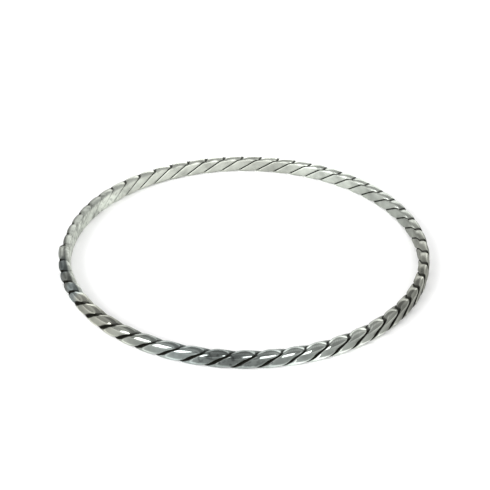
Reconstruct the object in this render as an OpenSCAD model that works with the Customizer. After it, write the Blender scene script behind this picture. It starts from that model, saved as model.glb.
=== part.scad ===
// Twisted wire bangle, lying on its side.
// Three wires are laid round one another all along a closed ring and rolled flat together, so
// that the bundle has one rounded rectangular section. Each wire goes once round the ring and
// closes on itself. Units are millimetres. +Z is up along the ring's axis, and the origin is on
// the surface that the ring rests on, under the middle of the ring.

/* [Ring] */
// Inner diameter, across the flat inner face
inner_d = 65; // [54:0.5:76]
// Height of the band, along the ring's axis
band_h = 3.2; // [2.8:0.1:4]
// Thickness of the band, from its inner face to its outer face
band_t = 2; // [1.8:0.1:2.6]
// Corner radius of the section on the outside of the ring
outer_corner_r = 1; // [0.5:0.05:1.2]
// Corner radius of the section on the inside of the ring
inner_corner_r = 0.6; // [0.3:0.05:0.75]
// How far the ring is out of round, either way
oval = 0.18; // [0:0.02:0.4]
// Angle of the ring's longest diameter
oval_angle = 163; // [0:1:179]

/* [Wires] */
// Turns of the lay in one lap of the ring
lay_turns = 18; // [12:1:24]
// Share of a turn that a groove makes on its way up the outer face
outer_share = 0.31; // [0.25:0.005:0.36]
// Share of a turn that a groove makes on its way over the top to the inner face
top_share = 0.045; // [0.04:0.005:0.1]
// Share of a turn that a groove makes on its way down the inner face
inner_share = 0.434; // [0.38:0.002:0.46]
// Gap between neighbouring wires
wire_gap = 0.08; // [0.04:0.01:0.12]

/* [Grooves] */
// Depth of a groove in the middle of the outer face
outer_face_groove = 0.42; // [0.1:0.02:0.5]
// Depth of a groove at the two outer corners
outer_corner_groove = 0.22; // [0.1:0.02:0.5]
// Depth of a groove in the middle of the top face and of the bottom face
rim_groove = 0.5; // [0.2:0.05:0.7]
// Depth of a groove at the inner top corner
inner_top_groove = 0.7; // [0.3:0.05:0.8]
// Distance from an inner corner at which the flat of the inner face begins
flat_from = 0.6; // [0.4:0.1:1]
// Depth of a groove at the edge of that flat
flat_edge_groove = 0.3; // [0.1:0.05:0.5]
// Depth of a groove in the middle of the inner face
inner_face_groove = 0.18; // [0.1:0.02:0.4]
// Depth of a groove at the inner bottom corner
inner_bottom_groove = 0.55; // [0.3:0.05:0.8]

/* [Seam] */
// Angle on the ring at which the soldered ends meet
seam_angle = 180; // [0:0.5:359]
// Height of the step that the ends leave on the outer face
seam_step = 0.5; // [0:0.05:0.6]
// Stretch over which each end comes back to the common thickness, in degrees
seam_reach = 34; // [10:1:60]
// Share of the inner grooves' depth that solder fills beside the seam
solder_fill = 0.8; // [0:0.1:0.9]

/* [Hidden] */
NODES = ["wire_1", "wire_2", "wire_3"];
silver = [0.74, 0.75, 0.73];
wires = len(NODES);
around = 2 * (band_h + band_t);

// The section is followed by a distance that starts in the middle of its outer face, goes up,
// over the top to the inner face, down it and back under the bottom. The distance is counted
// on the section with square corners. One row for each corner.
// Columns: distance, middle of the corner's arc outward and up, its radius, the way it faces
AT = 0;
OUT = 1;
UP = 2;
RADIUS = 3;
FACING = 4;
outer_x = band_t / 2 - outer_corner_r;
inner_x = inner_corner_r - band_t / 2;
CORNERS = [
    [band_h / 2, outer_x, band_h / 2 - outer_corner_r, outer_corner_r, 45],
    [band_h / 2 + band_t, inner_x, band_h / 2 - inner_corner_r, inner_corner_r, 135],
    [3 * band_h / 2 + band_t, inner_x, inner_corner_r - band_h / 2, inner_corner_r, 225],
    [3 * band_h / 2 + 2 * band_t, outer_x, outer_corner_r - band_h / 2, outer_corner_r, 315]
];

// How a groove goes round the section, from the middle of the outer face and past each corner.
// Columns: share of a turn that the groove has made, distance that it has reached by then
TRAVEL = [
    [0, 0],
    [outer_share / 2, band_h / 2],
    [outer_share / 2 + top_share, band_h / 2 + band_t],
    [outer_share / 2 + top_share + inner_share, 3 * band_h / 2 + band_t],
    [1 - outer_share / 2, 3 * band_h / 2 + 2 * band_t],
    [1, around]
];
ARRIVAL = [for (row = TRAVEL) [row[1], row[0]]];

// The hand-laid twist is tighter at one end of the wires than at the other, and the two ends
// don't quite meet in step.
// Columns: angle on the ring, angle by which the lay is behind an even one
LATE = [
    [0, 6.3], [40, 5.7], [80, 0.9], [120, -0.1], [160, -2], [180, -3.2], [187, -1.3],
    [195, -1.9], [201, -2.7], [207, -3.8], [240, -0.5], [280, 4], [320, 6], [360, 6.3]
];
// Columns: count of turns that the lay has come to, angle on the ring
LAID = [for (row = LATE) [lay_turns * (row[0] - row[1]) / 360, row[0]]];
laid_at_end = LAID[len(LAID) - 1][0];

// A groove crosses the top in a short stretch, so the wires have their stations in step with
// the lay: some while a groove crosses the top, and some until the next groove does
crossing = 2;
between = 4;
STEPS = [
    for (i = [0:crossing]) outer_share / 2 + top_share * i / crossing,
    for (i = [1:between - 1]) outer_share / 2 + top_share + (1 / wires - top_share) * i / between
];
TURNS = [for (groove = [0:wires * lay_turns - 1], step = STEPS) groove / wires + step];
stations = len(TURNS);

// Groove depth and fullness along the same distance. A full lobe keeps flat to its groove, and
// a slack one is round.
// Columns: distance, depth
GROOVE_DEPTH = [
    [0, outer_face_groove],
    [band_h / 2, outer_corner_groove],
    [(band_h + band_t) / 2, rim_groove],
    [band_h / 2 + band_t, inner_top_groove],
    [band_h / 2 + band_t + flat_from, flat_edge_groove],
    [band_h + band_t, inner_face_groove],
    [3 * band_h / 2 + band_t - flat_from, flat_edge_groove],
    [3 * band_h / 2 + band_t, inner_bottom_groove],
    [3 * (band_h + band_t) / 2, rim_groove],
    [3 * band_h / 2 + 2 * band_t, outer_corner_groove],
    [around, outer_face_groove]
];
// Columns: distance, fullness
LOBE_FULLNESS = [
    [0, 2.2],
    [band_h / 2, 3],
    [(band_h + band_t) / 2, 2.5],
    [band_h / 2 + band_t, 2],
    [band_h / 2 + band_t + flat_from, 8],
    [3 * band_h / 2 + band_t - flat_from, 8],
    [3 * band_h / 2 + band_t, 2],
    [3 * (band_h + band_t) / 2, 2.5],
    [3 * band_h / 2 + 2 * band_t, 3],
    [around, 2.2]
];

// Solder has run into the grooves on the inside of the ring, beside the seam.
// Columns: angle on the ring past the seam, share of the fill there
SOLDER = [[-50, 0], [-34, 1], [2, 1], [22, 0]];
// Columns: distance along the section, share of the fill there
SOLDERED = [
    [band_h / 2, 0.2],
    [(band_h + band_t) / 2, 1],
    [3 * (band_h + band_t) / 2, 1],
    [3 * band_h / 2 + 2 * band_t, 0.2]
];

// Places of a wire's own points across its lobe, from one groove to the next
LOBE_POINTS = [0, 0.1, 0.28, 0.5, 0.72, 0.9, 1];
ring_points = len(LOBE_POINTS) + 1;

// A number brought into one lap of the section, from 0 to around
function lap(s) = s - around * floor(s / around);

// Point and facing on the section at a distance: outward, up, and the way its surface faces
function corner_point(c, s) =
    let (facing = c[FACING] + 45 * (s - c[AT]) / c[RADIUS])
    [c[OUT] + c[RADIUS] * cos(facing), c[UP] + c[RADIUS] * sin(facing), facing];
function face_point(s) =
    s < band_h / 2 ? [band_t / 2, s, 0] :
    s < band_h / 2 + band_t ? [(band_h + band_t) / 2 - s, band_h / 2, 90] :
    s < 3 * band_h / 2 + band_t ? [-band_t / 2, band_h + band_t - s, 180] :
    s < 3 * band_h / 2 + 2 * band_t ? [s - 3 * (band_h + band_t) / 2, -band_h / 2, 270] :
    [band_t / 2, s - around, 0];
function section_point(s) =
    let (near = [for (c = CORNERS) if (abs(s - c[AT]) < c[RADIUS]) c])
    len(near) > 0 ? corner_point(near[0], s) : face_point(s);

// Point on a wire's face: the place on the section, pushed in by the roundness of the lobe.
// The edge is 0 on the crest of the lobe and 1 in its grooves.
function lobe_point(s, edge, fill) =
    let (p = section_point(s))
    let (depth = lookup(s, GROOVE_DEPTH) * (1 - fill * lookup(s, SOLDERED)))
    let (push = depth * pow(edge, lookup(s, LOBE_FULLNESS)))
    [p[0] - push * cos(p[2]), p[1] - push * sin(p[2])];

// Unit direction square to the line from the section's middle to a groove
function side_normal(s, fill) =
    let (p = lobe_point(s, 1, fill))
    [-p[1], p[0]] / norm(p);

// Distance along the section at a count of turns of the lay
function travel(turns) = around * floor(turns) + lookup(turns - floor(turns), TRAVEL);

// Count of turns of the lay at a distance along the section
function turns_at(s) = floor(s / around) + lookup(lap(s), ARRIVAL);

// A wire's section at one station: its corner near the middle, then its face, groove to groove
function wire_section(turns, fill) =
    let (start = travel(turns), end = travel(turns + 1 / wires))
    let (first = side_normal(lap(start), fill), last = -side_normal(lap(end), fill))
    let (core = (first + last) * wire_gap / 2 / (1 + first * last))
    concat([core], [for (across = LOBE_POINTS)
        let (s = start + across * (end - start))
        let (edge = min(1, abs(2 * wires * (turns_at(s) - turns) - 1)))
        let (p = lobe_point(lap(s), edge, fill))
        across == 0 ? p + first * wire_gap / 2 :
        across == 1 ? p + last * wire_gap / 2 : p]);

// Angle past the seam, from -180 to 180
function past_seam(angle) = angle - seam_angle - 360 * floor((angle - seam_angle + 180) / 360);

// Growth of the band's thickness beside the seam: one end is proud and the other is thin
function seam_growth(angle) =
    let (past = past_seam(angle))
    let (fade = max(0, 1 - abs(past) / seam_reach))
    (past < 0 ? -1 : 1) * seam_step / 2 * fade * fade * (3 - 2 * fade);

// Place in the part of a section's point, at an angle on the ring
function on_ring(p, angle) =
    let (inner_r = inner_d / 2 + oval * cos(2 * (angle - oval_angle)))
    let (r = inner_r + (p[0] + band_t / 2) * (1 + seam_growth(angle) / band_t))
    [r * cos(angle), r * sin(angle), p[1] + band_h / 2];

// Angle on the ring at which the lay has come to a count of turns
function laid(turns) =
    turns > laid_at_end ? 360 + lookup(turns - lay_turns, LAID) : lookup(turns, LAID);

// Share of the depth that solder fills in the inner grooves, at an angle on the ring
function fill_at(angle) = solder_fill * lookup(past_seam(angle), SOLDER);

// Two triangles between neighbouring points of neighbouring stations. Both wires beside a gap
// split their faces along the same diagonal, so that the gap stays even.
function patch(i, j) =
    let (a = i * ring_points + j, b = i * ring_points + (j + 1) % ring_points)
    let (next = ((i + 1) % stations) * ring_points)
    let (c = next + (j + 1) % ring_points, d = next + j)
    j < ring_points / 2 ? [[a, b, c], [a, c, d]] : [[a, b, d], [b, c, d]];

module wire(index) {
    color(silver)
        polyhedron(
            points = [
                for (turns = TURNS)
                    let (angle = laid(turns))
                    for (p = wire_section(turns + index / wires, fill_at(angle))) on_ring(p, angle)
            ],
            faces = [for (i = [0:stations - 1], j = [0:ring_points - 1]) each patch(i, j)]
        );
}

module wire_1() { wire(0); }
module wire_2() { wire(1); }
module wire_3() { wire(2); }

wire_1();
wire_2();
wire_3();
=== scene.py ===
import math
import bpy
import numpy as np
from mathutils import Matrix, Vector


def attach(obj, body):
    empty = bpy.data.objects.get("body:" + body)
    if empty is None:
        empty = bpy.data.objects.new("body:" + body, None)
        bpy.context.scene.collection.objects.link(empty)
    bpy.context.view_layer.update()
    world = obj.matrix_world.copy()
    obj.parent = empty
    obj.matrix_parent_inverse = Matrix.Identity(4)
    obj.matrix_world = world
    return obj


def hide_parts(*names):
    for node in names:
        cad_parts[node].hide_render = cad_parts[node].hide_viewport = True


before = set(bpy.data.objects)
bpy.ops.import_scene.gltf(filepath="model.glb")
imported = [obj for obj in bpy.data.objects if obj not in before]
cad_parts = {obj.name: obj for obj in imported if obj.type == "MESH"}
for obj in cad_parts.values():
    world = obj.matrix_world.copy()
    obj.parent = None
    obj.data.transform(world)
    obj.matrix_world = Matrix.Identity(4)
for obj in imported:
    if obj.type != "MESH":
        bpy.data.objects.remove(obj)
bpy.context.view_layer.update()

MM = 0.001

# Ring, in millimetres
INNER_D = 65.0
BAND_H = 3.2
BAND_T = 2.0
OUTER_CORNER_R = 1.0
INNER_CORNER_R = 0.6
# Out of round: how far the inner radius swings to either side, and the angle at which it is longest
OVAL = 0.18
OVAL_ANGLE = 163.0
AROUND = 2 * (BAND_H + BAND_T)

# Wires: turns of the lay, shares of a turn made on the outer face, the top and the inner face,
# and the gap between two wires
WIRES = 3
LAY_TURNS = 18
OUTER_SHARE = 0.31
TOP_SHARE = 0.045
INNER_SHARE = 0.434
WIRE_GAP = 0.08
# Angle on the ring, and the angle by which the hand-laid twist is late there
LATE = (
    (0, 6.3), (40, 5.7), (80, 0.9), (120, -0.1), (160, -2.0), (180, -3.2), (187, -1.3),
    (195, -1.9), (201, -2.7), (207, -3.8), (240, -0.5), (280, 4.0), (320, 6.0), (360, 6.3),
)

# Seam: angle on the ring, height of the step, stretch on either side in degrees
SEAM_ANGLE = 180.0
SEAM_STEP = 0.5
SEAM_REACH = 34.0
# Share of the grooves' depth that solder fills beside the seam
SOLDER_FILL = 0.8
# Angle past the seam, share of that fill there
SOLDER = ((-50, 0), (-34, 1), (2, 1), (22, 0))

# Distances along the section, counted on square corners from the middle of the outer face up
OUTER_TOP = BAND_H / 2
INNER_TOP = BAND_H / 2 + BAND_T
INNER_MID = BAND_H + BAND_T
INNER_BOTTOM = 3 * BAND_H / 2 + BAND_T
OUTER_BOTTOM = 3 * BAND_H / 2 + 2 * BAND_T

# Distance from an inner corner at which the flat of the inner face begins
FLAT_FROM = 0.6

# Distance on the section, groove depth there
GROOVE_DEPTH = (
    (0, 0.42), (OUTER_TOP, 0.22), (OUTER_TOP + BAND_T / 2, 0.5), (INNER_TOP, 0.7),
    (INNER_TOP + FLAT_FROM, 0.3), (INNER_MID, 0.18), (INNER_BOTTOM - FLAT_FROM, 0.3),
    (INNER_BOTTOM, 0.55), (INNER_BOTTOM + BAND_T / 2, 0.5), (OUTER_BOTTOM, 0.22), (AROUND, 0.42),
)
# Distance on the section, fullness of the lobe there: full is flat, slack is round
LOBE_FULLNESS = (
    (0, 2.2), (OUTER_TOP, 3.0), (OUTER_TOP + BAND_T / 2, 2.5), (INNER_TOP, 2.0),
    (INNER_TOP + FLAT_FROM, 8.0), (INNER_BOTTOM - FLAT_FROM, 8.0), (INNER_BOTTOM, 2.0),
    (INNER_BOTTOM + BAND_T / 2, 2.5), (OUTER_BOTTOM, 3.0), (AROUND, 2.2),
)
# Distance on the section, share of the solder's fill there
SOLDERED = (
    (OUTER_TOP, 0.2), (OUTER_TOP + BAND_T / 2, 1), (INNER_BOTTOM + BAND_T / 2, 1), (OUTER_BOTTOM, 0.2),
)
# Share of a turn, distance on the section that a groove has reached by then
TRAVEL = (
    (0, 0), (OUTER_SHARE / 2, OUTER_TOP), (OUTER_SHARE / 2 + TOP_SHARE, INNER_TOP),
    (OUTER_SHARE / 2 + TOP_SHARE + INNER_SHARE, INNER_BOTTOM),
    (1 - OUTER_SHARE / 2, OUTER_BOTTOM), (1, AROUND),
)
# The section with square corners: distance, place outward and up in halves of its sizes
SQUARE = (
    (0, 1, 0), (OUTER_TOP, 1, 1), (INNER_TOP, -1, 1), (INNER_BOTTOM, -1, -1), (OUTER_BOTTOM, 1, -1),
    (AROUND, 1, 0),
)
# Its rounded corners: distance, middle of the arc outward and up, its radius, its facing
OUTER_X = BAND_T / 2 - OUTER_CORNER_R
INNER_X = INNER_CORNER_R - BAND_T / 2
OUTER_Z = BAND_H / 2 - OUTER_CORNER_R
INNER_Z = BAND_H / 2 - INNER_CORNER_R
CORNERS = (
    (OUTER_TOP, OUTER_X, OUTER_Z, OUTER_CORNER_R, 45),
    (INNER_TOP, INNER_X, INNER_Z, INNER_CORNER_R, 135),
    (INNER_BOTTOM, INNER_X, -INNER_Z, INNER_CORNER_R, 225),
    (OUTER_BOTTOM, OUTER_X, -OUTER_Z, OUTER_CORNER_R, 315),
)

# A groove crosses the top in a short stretch. The stations keep step with the lay: some while
# a groove crosses the top, and some until the next groove does.
CROSSING = 8
BETWEEN = 24
STEPS = np.concatenate((
    OUTER_SHARE / 2 + TOP_SHARE * np.linspace(0, 1, CROSSING + 1),
    OUTER_SHARE / 2 + np.linspace(TOP_SHARE, 1 / WIRES, BETWEEN + 1)[1:-1],
))
TURNS = (np.arange(WIRES * LAY_TURNS)[:, None] / WIRES + STEPS).ravel()
STATIONS = len(TURNS)
# Points across a lobe from groove to groove, and the share of even spacing in their places: the
# rest crowds them toward the grooves
LOBE_POINTS = 25
EVENLY = 0.4

# Flat on the outside of each lobe, painted with a reflection tone of its own rather than modelled: its
# middle and half height along the section, how far it reaches toward the grooves, the powers that make its
# outline square or pointed in those two directions, and where it begins and ends to fade, as shares of its
# size
FACET_MIDDLE = 0.65
FACET_HALF = 1.5
FACET_EDGE = 0.8
FACET_POWER_UP = 3
FACET_POWER_EDGE = 4
FACET_FADE = (0.6, 1.3)
# How much brighter the outline of that flat is painted: a painted highlight along the flat's edge
PAINTED_OUTLINE_HIGHLIGHT = 0.9

# Distance on the section, how much it belongs to the satin inner face
INSIDE = (
    (OUTER_TOP, 0), (INNER_TOP - 1.0, 0), (INNER_TOP - 0.4, 0.8), (INNER_TOP + 0.3, 1),
    (INNER_BOTTOM - 0.3, 1), (INNER_BOTTOM + 0.4, 0.8), (INNER_BOTTOM + 1.0, 0), (OUTER_BOTTOM, 0),
)
# Distance on the section, brightness painted on the outer face there, a painted reflection: darker across
# the middle of the face and brighter at its lower edge
PAINTED_REFLECTION_BY_HEIGHT = (
    (0, 0.75), (OUTER_TOP - 0.9, 0.75), (OUTER_TOP - 0.4, 1.0), (OUTER_BOTTOM - 0.3, 1.0),
    (OUTER_BOTTOM, 1.9), (AROUND - 0.9, 1.9), (AROUND - 0.6, 0.75), (AROUND, 0.75),
)
# Tarnish and painted light by angle on the ring: light that the outer flats, the rims and the inner face
# give back, painted darker or lighter by angle as painted reflections and shade, how black the inner
# grooves are, and how warm the tint is
FLATS, RIMS, INNER, BLACK, WARMTH = range(1, 6)
TARNISH_AND_PAINTED_LIGHT = (
    (0, 0.32, 0.38, 0.28, 1.0, 0.8), (20, 0.30, 0.38, 0.35, 1.0, 0.6), (45, 0.48, 0.52, 0.43, 1.0, 0.6),
    (62, 0.55, 0.56, 0.51, 1.0, 0.6), (80, 0.65, 0.84, 0.36, 1.0, 0.7), (120, 0.55, 0.52, 0.50, 1.0, 0.7),
    (150, 0.12, 0.26, 0.70, 0.8, 0.7), (179, 0.10, 0.18, 0.70, 0.6, 0.7), (181, 0.34, 0.28, 0.56, 1.0, 0.7),
    (187, 0.32, 0.26, 0.56, 1.0, 0.6), (189, 0.13, 0.10, 0.50, 1.0, 0.1), (195, 0.13, 0.10, 0.50, 1.0, 0.1),
    (197, 0.15, 0.11, 0.50, 1.0, 0.6), (201, 0.15, 0.11, 0.50, 1.0, 0.6), (203, 0.30, 0.22, 0.50, 1.0, 0.1),
    (207, 0.30, 0.22, 0.50, 1.0, 0.1), (210, 0.36, 0.38, 0.40, 1.0, 0.9), (225, 0.38, 0.19, 0.28, 1.0, 0.9),
    (240, 0.38, 0.25, 0.28, 1.0, 0.5), (250, 0.36, 0.23, 0.28, 1.0, 0.2), (262, 0.18, 0.15, 0.26, 1.0, 0.3),
    (270, 0.18, 0.16, 0.26, 1.0, 0.3), (285, 0.32, 0.40, 0.28, 1.0, 0.4), (305, 0.43, 0.48, 0.30, 1.0, 0.6),
    (325, 0.30, 0.17, 0.30, 1.0, 0.8), (345, 0.40, 0.17, 0.30, 1.0, 0.9), (360, 0.32, 0.38, 0.28, 1.0, 0.8),
)
# Distance on the section, how black the outer grooves are
SOOT = ((OUTER_TOP, 1), (OUTER_TOP + 0.5, 0.8), (OUTER_BOTTOM - 0.5, 0.8), (OUTER_BOTTOM, 1))
# Distance on the section, share of the way from crest to groove at which the black begins, and
# the share in which it comes up to full
SOOT_FROM = (
    (0, 0.74), (OUTER_TOP, 0.79), (OUTER_TOP + 0.5, 0.87), (OUTER_BOTTOM - 0.5, 0.87),
    (OUTER_BOTTOM, 0.80), (AROUND, 0.74),
)
SOOT_RISE = 0.08
# Shares of the way to a groove at which the black of the inner grooves begins and is full
INNER_SOOT = (0.84, 0.91)
# Angle on the ring, by how much more of each lobe the outer grooves are black there: wider soot, and in
# places painted shade laid over the highlights on the lobes' edges
WIDER_SOOT_AND_SHADE = (
    (0, 0.12), (40, 0.08), (60, 0.07), (130, 0.07), (155, 0.13), (178, 0.12), (182, 0.06), (204, 0.06),
    (208, 0.12), (232, 0.07), (245, 0), (258, 0.04), (272, 0.04), (285, 0), (300, 0.06), (330, 0.12),
    (360, 0.12),
)
# Angle on the ring, how much solder shows there
FLOOD = ((130, 0), (148, 1), (204, 1), (214, 0))
# Angle on the ring, how far past the outer top corner the solder begins, and the distance in
# which it comes up to full
FLOOD_FROM = ((130, 2.3), (148, 0.9), (179, 0.8), (181, 1.1), (204, 1.2), (214, 1.8))
FLOOD_RISE = 0.3
# Angle on the ring, how black a line runs there where the solder meets the wires
BORDER = ((180, 0), (182, 1), (206, 1), (208, 0))
BORDER_HALF = 0.2
# Warmth of the solder's tint, how pitted it is, and how much of the grooves' black it hides
SOLDER_WARMTH = 0.65
SOLDER_PITS = 0.5
SOLDER_HIDES = 0.85
# Distance on the section, light that the solder gives back there, with painted light: painted darker on the
# top and brighter on the inner face
SOLDER_TONE_WITH_PAINTED_LIGHT = ((OUTER_TOP, 0.40), (INNER_TOP, 0.50), (INNER_TOP + 0.5, 0.68), (INNER_BOTTOM, 0.68))
# Angle on the ring, how dull the metal of the outer face and rims is
DULL = (
    (0, 1.0), (30, 0.9), (65, 0.8), (80, 0.3), (120, 0.3), (150, 1.0), (181, 0.7), (205, 0.7),
    (210, 0), (315, 0), (335, 0.2), (360, 1.0),
)
# Angle on the ring, how stained the outer flats are
STAINED = ((254, 0), (258, 0.8), (272, 0.8), (277, 0))
# Roughness of the polished metal, of the satin metal and of the soot and painted shade in the grooves
POLISHED = 0.09
SATIN = 0.5
SOOTY = 0.9


def lookup(value, table, column=1):
    """Value of a table's column at a value of its first column, straight between the rows."""
    columns = list(zip(*table))
    return np.interp(value, columns[0], columns[column])


def section(s):
    """Place outward and up on the section at distances s, and the way the surface faces."""
    s = s % AROUND
    out = lookup(s, SQUARE) * BAND_T / 2
    up = lookup(s, SQUARE, 2) * BAND_H / 2
    facing = 90.0 * np.searchsorted([row[0] for row in CORNERS], s)
    for at, x, z, r, way in CORNERS:
        near = np.abs(s - at) < r
        facing[near] = way + 45 * (s[near] - at) / r
        out[near] = x + r * np.cos(np.radians(facing[near]))
        up[near] = z + r * np.sin(np.radians(facing[near]))
    return out, up, np.radians(facing)


def travel(turns):
    """Distance along the section at a count of turns of the lay."""
    return AROUND * np.floor(turns) + lookup(turns % 1, TRAVEL)


def turns_at(s):
    """Count of turns of the lay at a distance along the section."""
    return np.floor(s / AROUND) + lookup(s % AROUND, [row[::-1] for row in TRAVEL])


def laid(turns):
    """Angle on the ring at which the lay has come to a count of turns, from 0 to 360."""
    lay = [LAY_TURNS * (angle - late) / 360 for angle, late in LATE]
    past = turns > lay[-1]
    return np.interp(turns - LAY_TURNS * past, lay, [row[0] for row in LATE]) + 360 * past


def past_seam(angle):
    """Angle past the seam, from -180 to 180."""
    return (angle - SEAM_ANGLE + 180) % 360 - 180


def seam_growth(angle):
    """Growth of the band's thickness beside the seam: one end is proud, the other thin."""
    past = past_seam(angle)
    fade = np.clip(1 - np.abs(past) / SEAM_REACH, 0, 1)
    return np.where(past < 0, -1, 1) * SEAM_STEP / 2 * fade * fade * (3 - 2 * fade)


def lobe_point(s, edge, fill):
    """Place on a wire's face at distances s: edge is 0 on the crest and 1 in the grooves."""
    out, up, facing = section(s)
    depth = lookup(s % AROUND, GROOVE_DEPTH) * (1 - fill * lookup(s % AROUND, SOLDERED))
    push = depth * edge ** lookup(s % AROUND, LOBE_FULLNESS)
    return np.stack((out - push * np.cos(facing), up - push * np.sin(facing)))


def side_normal(s, fill):
    """Direction square to the line from the section's middle to a groove."""
    out, up = lobe_point(s, 1.0, fill)
    far = np.hypot(out, up)
    return np.stack((-up / far, out / far))


def wire_mesh(index):
    """Points, faces, and for each point its edge, its place on the section and its angle."""
    angle = laid(TURNS)
    turns = TURNS + index / WIRES
    start, end = travel(turns), travel(turns + 1 / WIRES)
    even = np.linspace(0, 1, LOBE_POINTS)
    across = EVENLY * even + (1 - EVENLY) * (0.5 - 0.5 * np.cos(math.pi * even))
    s = start[:, None] + across * (end - start)[:, None]
    edge = np.clip(np.abs(2 * WIRES * (turns_at(s) - turns[:, None]) - 1), 0, 1)
    fill = SOLDER_FILL * lookup(past_seam(angle), SOLDER)
    place = lobe_point(s, edge, fill[:, None])
    # The two sides stand half the gap back from the neighbours and meet beside the section's middle
    first, last = side_normal(start, fill), -side_normal(end, fill)
    place[:, :, 0] += first * WIRE_GAP / 2
    place[:, :, -1] += last * WIRE_GAP / 2
    core = (first + last) * WIRE_GAP / 2 / (1 + (first * last).sum(axis=0))
    place = np.concatenate((core[:, :, None], place), axis=2)
    growth = seam_growth(angle)[:, None] / BAND_T
    turn = np.radians(angle)[:, None]
    inner_r = INNER_D / 2 + OVAL * np.cos(2 * (turn - math.radians(OVAL_ANGLE)))
    r = inner_r + (place[0] + BAND_T / 2) * (1 + growth)
    points = np.stack((r * np.cos(turn), r * np.sin(turn), place[1] + BAND_H / 2), axis=-1) * MM
    number = np.arange(points.shape[0] * points.shape[1]).reshape(points.shape[:2])
    beside, ahead = np.roll(number, -1, axis=1), np.roll(number, -1, axis=0)
    faces = np.stack((number, ahead, np.roll(beside, -1, axis=0), beside), axis=-1)
    middle = np.ones((STATIONS, 1))
    edge = np.concatenate((middle, edge), axis=1)
    s = np.concatenate((0 * middle, s % AROUND), axis=1)
    around = np.repeat(angle % 360, LOBE_POINTS + 1)
    return points.reshape(-1, 3), faces.reshape(-1, 4), edge.ravel(), s.ravel(), around


def past_border(angle, s):
    """Distance along the section past the place where the solder begins."""
    return s - OUTER_TOP - lookup(angle, FLOOD_FROM)


def soldered(angle, s):
    """How much solder lies over the wires."""
    covered = np.clip(past_border(angle, s) / FLOOD_RISE, 0, 1) * (s < OUTER_BOTTOM)
    return covered * lookup(angle, FLOOD)


def facet(s, edge):
    """1 on the leaf-shaped flat that the rolls left on the outside of a lobe, 0 off it: the flat is painted
    as a reflection tone, not modelled.
    """
    up = (s + AROUND / 2) % AROUND - AROUND / 2
    high = np.abs(up - FACET_MIDDLE) / FACET_HALF
    far = high ** FACET_POWER_UP + (edge / FACET_EDGE) ** FACET_POWER_EDGE
    return np.interp(far, FACET_FADE, (1, 0))


def tone_with_painted_light(angle, s, edge):
    """How much light the metal gives back at each angle and face: tarnish and solder, with reflections and
    shade painted in by angle and face and a painted highlight on each flat's outline.
    """
    flat = facet(s, edge)
    tone = flat * lookup(angle, TARNISH_AND_PAINTED_LIGHT, FLATS) + (1 - flat) * lookup(angle, TARNISH_AND_PAINTED_LIGHT, RIMS)
    # The painted highlight on the outline is where the flat fades: the product is 1 half way
    tone = tone * (1 + PAINTED_OUTLINE_HIGHLIGHT * 4 * flat * (1 - flat))
    inside = lookup(s, INSIDE)
    # Painted reflection by height on the outer face, and painted reflection and shade by angle on the inner
    # face
    bare = lookup(s, PAINTED_REFLECTION_BY_HEIGHT) * tone * (1 - inside) + inside * lookup(angle, TARNISH_AND_PAINTED_LIGHT, INNER)
    return bare + (lookup(s, SOLDER_TONE_WITH_PAINTED_LIGHT) - bare) * soldered(angle, s)


def soot_and_shade(angle, s, edge):
    """How black the metal is in and beside a groove, from soot and, where the black is widened, painted
    shade, and where the solder meets the wires.
    """
    inside = lookup(s, INSIDE)
    # The black is widened by angle, partly as painted shade over the lobes' edge highlights
    first = lookup(s, SOOT_FROM) - lookup(angle, WIDER_SOOT_AND_SHADE)
    outer = np.clip((edge - first) / SOOT_RISE, 0, 1) * lookup(s, SOOT)
    inner = np.interp(edge, INNER_SOOT, (0, 1)) * lookup(angle, TARNISH_AND_PAINTED_LIGHT, BLACK)
    grooves = (outer * (1 - inside) + inner * inside) * (1 - SOLDER_HIDES * soldered(angle, s))
    line = np.clip(1 - np.abs(past_border(angle, s)) / BORDER_HALF, 0, 1)
    return np.maximum(grooves, line * lookup(angle, BORDER))


def add_attribute(mesh, name, values):
    """One value for each point of the mesh, for the material to read."""
    layer = mesh.attributes.new(name, "FLOAT", "POINT")
    layer.data.foreach_set("value", values.astype(np.float32))


# Material: colour of the soot and painted shade in the grooves, then the tints of the metal where it is
# cool and where it is warm, and the strength of its reflection at a grazing angle
GROOVE_BLACK = (0.014, 0.014, 0.011)
COOL = (0.84, 0.97, 0.97)
WARM = (1.0, 1.0, 0.86)
GRAZING = 0.6
# Clouds of uneven tarnish, then pits: scale and detail of the noise, brightness at its values
CLOUD_SCALE = 320.0
CLOUD_DETAIL = 4.0
CLOUDS = ((0.32, 0.75), (0.5, 1.0), (0.68, 1.2))
PIT_SCALE = 1100.0
PIT_DETAIL = 2.0
PITS = ((0.38, 0.4), (0.5, 1.1))
# Waves of the surface: scale and detail of their noise, their height in metres and strength
WAVE_SCALE = 450.0
WAVE_DETAIL = 1.0
WAVE_HEIGHT = 0.00006
WAVE_STRENGTH = 0.6


def node(tree, kind, inputs=None, **settings):
    """A shader node with its settings, and its inputs set to values or linked to sockets."""
    made = tree.nodes.new(kind)
    for key, value in settings.items():
        setattr(made, key, value)
    for key, value in (inputs or {}).items():
        if isinstance(value, bpy.types.NodeSocket):
            tree.links.new(value, made.inputs[key])
        else:
            made.inputs[key].default_value = value
    return made


def grey(value):
    """A grey with its alpha."""
    return (value, value, value, 1)


def ramp(tree, value, stops):
    """A ramp of greys with stops of position and brightness."""
    made = node(tree, "ShaderNodeValToRGB", {"Fac": value})
    while len(made.color_ramp.elements) < len(stops):
        made.color_ramp.elements.new(1)
    for element, (position, brightness) in zip(made.color_ramp.elements, stops):
        element.position = position
        element.color = grey(brightness)
    return made.outputs["Color"]


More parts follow.
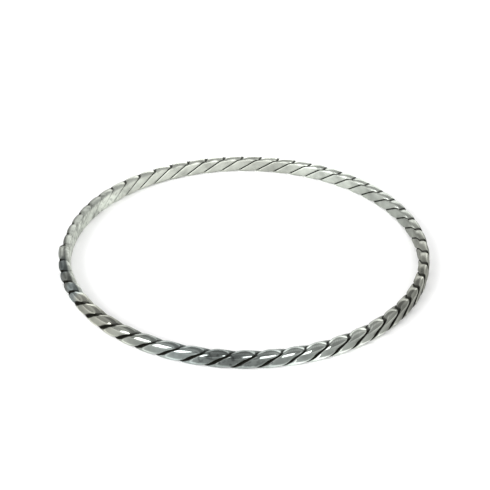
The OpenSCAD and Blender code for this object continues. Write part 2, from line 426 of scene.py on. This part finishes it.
def mix_colours(tree, amount, first, second, blend="MIX"):
    """The second colour over the first by an amount, each a value or a socket."""
    made = node(tree, "ShaderNodeMix", data_type="RGBA", blend_type=blend)
    sockets = (made.inputs[0], made.inputs[6], made.inputs[7])
    for socket, value in zip(sockets, (amount, first, second)):
        if isinstance(value, bpy.types.NodeSocket):
            tree.links.new(value, socket)
        elif isinstance(value, tuple):
            socket.default_value = (*value, 1)
        else:
            socket.default_value = value
    return made.outputs[2]


def noise(tree, place, scale, detail):
    """A noise over the place, around 0.5."""
    inputs = {"Vector": place, "Scale": scale, "Detail": detail}
    return node(tree, "ShaderNodeTexNoise", inputs).outputs["Fac"]


def attribute(tree, name):
    """The values that add_attribute gave to the points."""
    return node(tree, "ShaderNodeAttribute", attribute_name=name).outputs["Fac"]


def silver_material():
    """Silver: polished and tarnished outside, satin inside, with blackened grooves, and painted
    reflections, highlights and shade in its colour.
    """
    material = bpy.data.materials.new("silver")
    material.use_nodes = True
    tree = material.node_tree
    shader = tree.nodes["Principled BSDF"]
    place = node(tree, "ShaderNodeTexCoord").outputs["Object"]
    clouds = ramp(tree, noise(tree, place, CLOUD_SCALE, CLOUD_DETAIL), CLOUDS)
    tint = mix_colours(tree, attribute(tree, "warmth"), COOL, WARM)
    # The tone carries painted reflections, highlights and shade as well as tarnish
    metal = mix_colours(tree, 1.0, tint, attribute(tree, "tone_with_painted_light"), "MULTIPLY")
    metal = mix_colours(tree, 1.0, metal, clouds, "MULTIPLY")
    pits = ramp(tree, noise(tree, place, PIT_SCALE, PIT_DETAIL), PITS)
    pitted = mix_colours(tree, 1.0, metal, pits, "MULTIPLY")
    metal = mix_colours(tree, attribute(tree, "pitted"), metal, pitted)
    colour = mix_colours(tree, attribute(tree, "soot_and_shade"), metal, GROOVE_BLACK)
    tree.links.new(colour, shader.inputs["Base Color"])
    shader.inputs["Metallic"].default_value = 1.0
    shader.inputs["Specular Tint"].default_value = grey(GRAZING)
    tree.links.new(attribute(tree, "rough"), shader.inputs["Roughness"])
    waves = noise(tree, place, WAVE_SCALE, WAVE_DETAIL)
    surface = {"Height": waves, "Strength": WAVE_STRENGTH, "Distance": WAVE_HEIGHT}
    bump = node(tree, "ShaderNodeBump", surface)
    tree.links.new(bump.outputs["Normal"], shader.inputs["Normal"])
    return material


silver = silver_material()
for index in range(WIRES):
    name = f"wire_{index + 1}"
    points, faces, edge, s, around = wire_mesh(index)
    mesh = bpy.data.meshes.new(f"{name}_rolled")
    mesh.from_pydata(points.tolist(), [], faces.tolist())
    mesh.shade_smooth()
    inside, flood = lookup(s, INSIDE), soldered(around, s)
    dull = lookup(around, DULL) * (1 - inside)
    stained = lookup(around, STAINED) * facet(s, edge)
    warm = lookup(around, TARNISH_AND_PAINTED_LIGHT, WARMTH)
    warm = warm + (SOLDER_WARMTH - warm) * flood
    black = soot_and_shade(around, s, edge)
    rough = POLISHED + (SATIN - POLISHED) * np.maximum(np.maximum(inside, flood), dull)
    add_attribute(mesh, "rough", rough + (SOOTY - rough) * black)
    add_attribute(mesh, "tone_with_painted_light", tone_with_painted_light(around, s, edge))
    add_attribute(mesh, "soot_and_shade", black)
    add_attribute(mesh, "pitted", np.maximum(SOLDER_PITS * flood, stained))
    add_attribute(mesh, "warmth", warm)
    mesh.materials.append(silver)
    wire = bpy.data.objects.new(f"{name}_rolled", mesh)
    bpy.context.scene.collection.objects.link(wire)
    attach(wire, "root")
    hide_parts(name)

# Floor: half its side in metres, its brightness and roughness
FLOOR_HALF = 1.5
FLOOR_WHITE = 0.97
FLOOR_ROUGH = 0.9
floor_mesh = bpy.data.meshes.new("floor")
corners = [(x * FLOOR_HALF, y * FLOOR_HALF, 0) for x, y in ((-1, -1), (1, -1), (1, 1), (-1, 1))]
floor_mesh.from_pydata(corners, [], [(0, 1, 2, 3)])
floor = bpy.data.objects.new("floor", floor_mesh)
bpy.context.scene.collection.objects.link(floor)
floor_material = bpy.data.materials.new("floor")
floor_material.use_nodes = True
floor_shader = floor_material.node_tree.nodes["Principled BSDF"]
floor_shader.inputs["Base Color"].default_value = grey(FLOOR_WHITE)
floor_shader.inputs["Roughness"].default_value = FLOOR_ROUGH
floor_mesh.materials.append(floor_material)

# Light from all round, white
SKY = 0.62
world = bpy.data.worlds.new("studio")
bpy.context.scene.world = world
world.use_nodes = True
background = world.node_tree.nodes["Background"]
background.inputs["Color"].default_value = grey(1)
background.inputs["Strength"].default_value = SKY


def softbox(name, azimuth, elevation, far, wide, high, glow):
    """A light that faces the ring: its direction from it in degrees, its distance and sides in
    metres, and its brightness."""
    light = bpy.data.lights.new(name, "AREA")
    light.shape = "RECTANGLE"
    light.size = wide
    light.size_y = high
    light.energy = glow * math.pi * wide * high
    box = bpy.data.objects.new(name, light)
    bpy.context.scene.collection.objects.link(box)
    a, e = math.radians(azimuth), math.radians(elevation)
    away = Vector((math.cos(a) * math.cos(e), math.sin(a) * math.cos(e), math.sin(e)))
    box.location = away * far
    box.rotation_euler = (-away).to_track_quat("-Z", "Y").to_euler()


softbox("front_left", -143, 25, 1.4, 0.9, 1.1, 7.0)
softbox("front_right", -73, 22, 1.4, 0.7, 1.0, 7.0)
softbox("back", 85, 17, 1.4, 1.6, 0.8, 2.3)

# Camera: distance from the ring's middle and nearest visible distance in metres, elevation and
# roll in degrees, then the focal length and the place of the ring's middle in pixels of the
# 490 by 490 picture, and the sensor in millimetres
PICTURE = 490
FAR = 0.2580
NEAREST = 0.01
ELEVATION = 33.35
ROLL = 0.03
FOCAL = 1368.5
MIDDLE_X = 244.5
MIDDLE_Y = 250.8
SENSOR = 36.0
lens = bpy.data.cameras.new("camera")
lens.sensor_width = SENSOR
lens.lens = SENSOR * FOCAL / PICTURE
lens.clip_start = NEAREST
camera = bpy.data.objects.new("camera", lens)
bpy.context.scene.collection.objects.link(camera)
rise, roll = math.radians(ELEVATION), math.radians(ROLL)
ahead = Vector((0, math.cos(rise), -math.sin(rise)))
right = Vector((1, 0, 0))
up = right.cross(ahead)
turned = Matrix((right * math.cos(roll) + up * math.sin(roll),
                 up * math.cos(roll) - right * math.sin(roll), ahead)).transposed()
sight = Vector(((MIDDLE_X - PICTURE / 2) / FOCAL, (PICTURE / 2 - MIDDLE_Y) / FOCAL, 1)).normalized()
axes = turned @ sight.rotation_difference(Vector((0, 0, 1))).to_matrix()
pose = Matrix((axes.col[0], axes.col[1], -axes.col[2])).transposed().to_4x4()
pose.translation = -FAR * ahead + Vector((0, 0, BAND_H * MM / 2))
camera.matrix_world = pose
bpy.context.scene.camera = camera
bpy.context.scene.view_settings.view_transform = "Standard"
